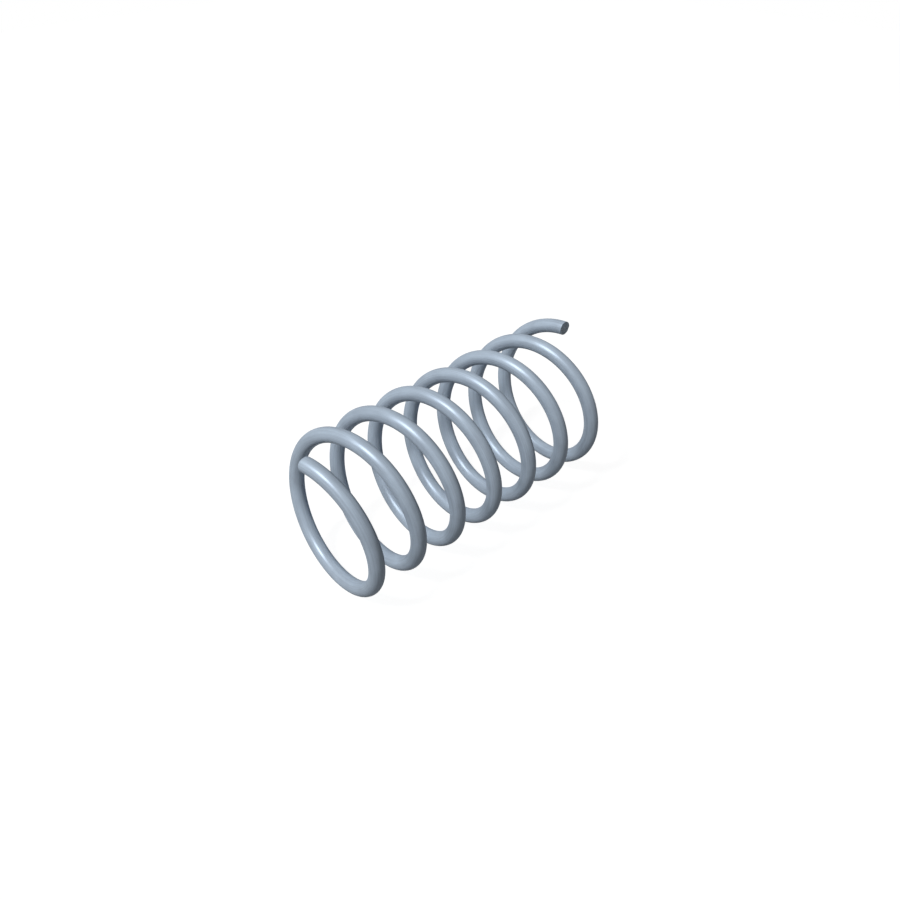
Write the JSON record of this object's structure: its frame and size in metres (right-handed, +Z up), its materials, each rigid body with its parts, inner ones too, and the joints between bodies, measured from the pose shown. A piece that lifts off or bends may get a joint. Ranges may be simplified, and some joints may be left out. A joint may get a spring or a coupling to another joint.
{
  "type": "compression spring",
  "caption": "Open coil compression spring of round steel wire, evenly pitched, wound right-handed, with plain ends cut off square.",
  "frame": {"origin": "on the bench, under the middle of the coil, with the spring lying on its side", "axes": "+X along the coil, +Y across it, +Z up; both cut wire ends are at the top of the coil"},
  "size_m": [0.0254, 0.0112, 0.0111],
  "materials": {
    "spring_steel": "drawn wire, satin blue-grey"
  },
  "bodies": {
    "root": {"spring_wire": "spring_steel"}
  },
  "joints": []
}
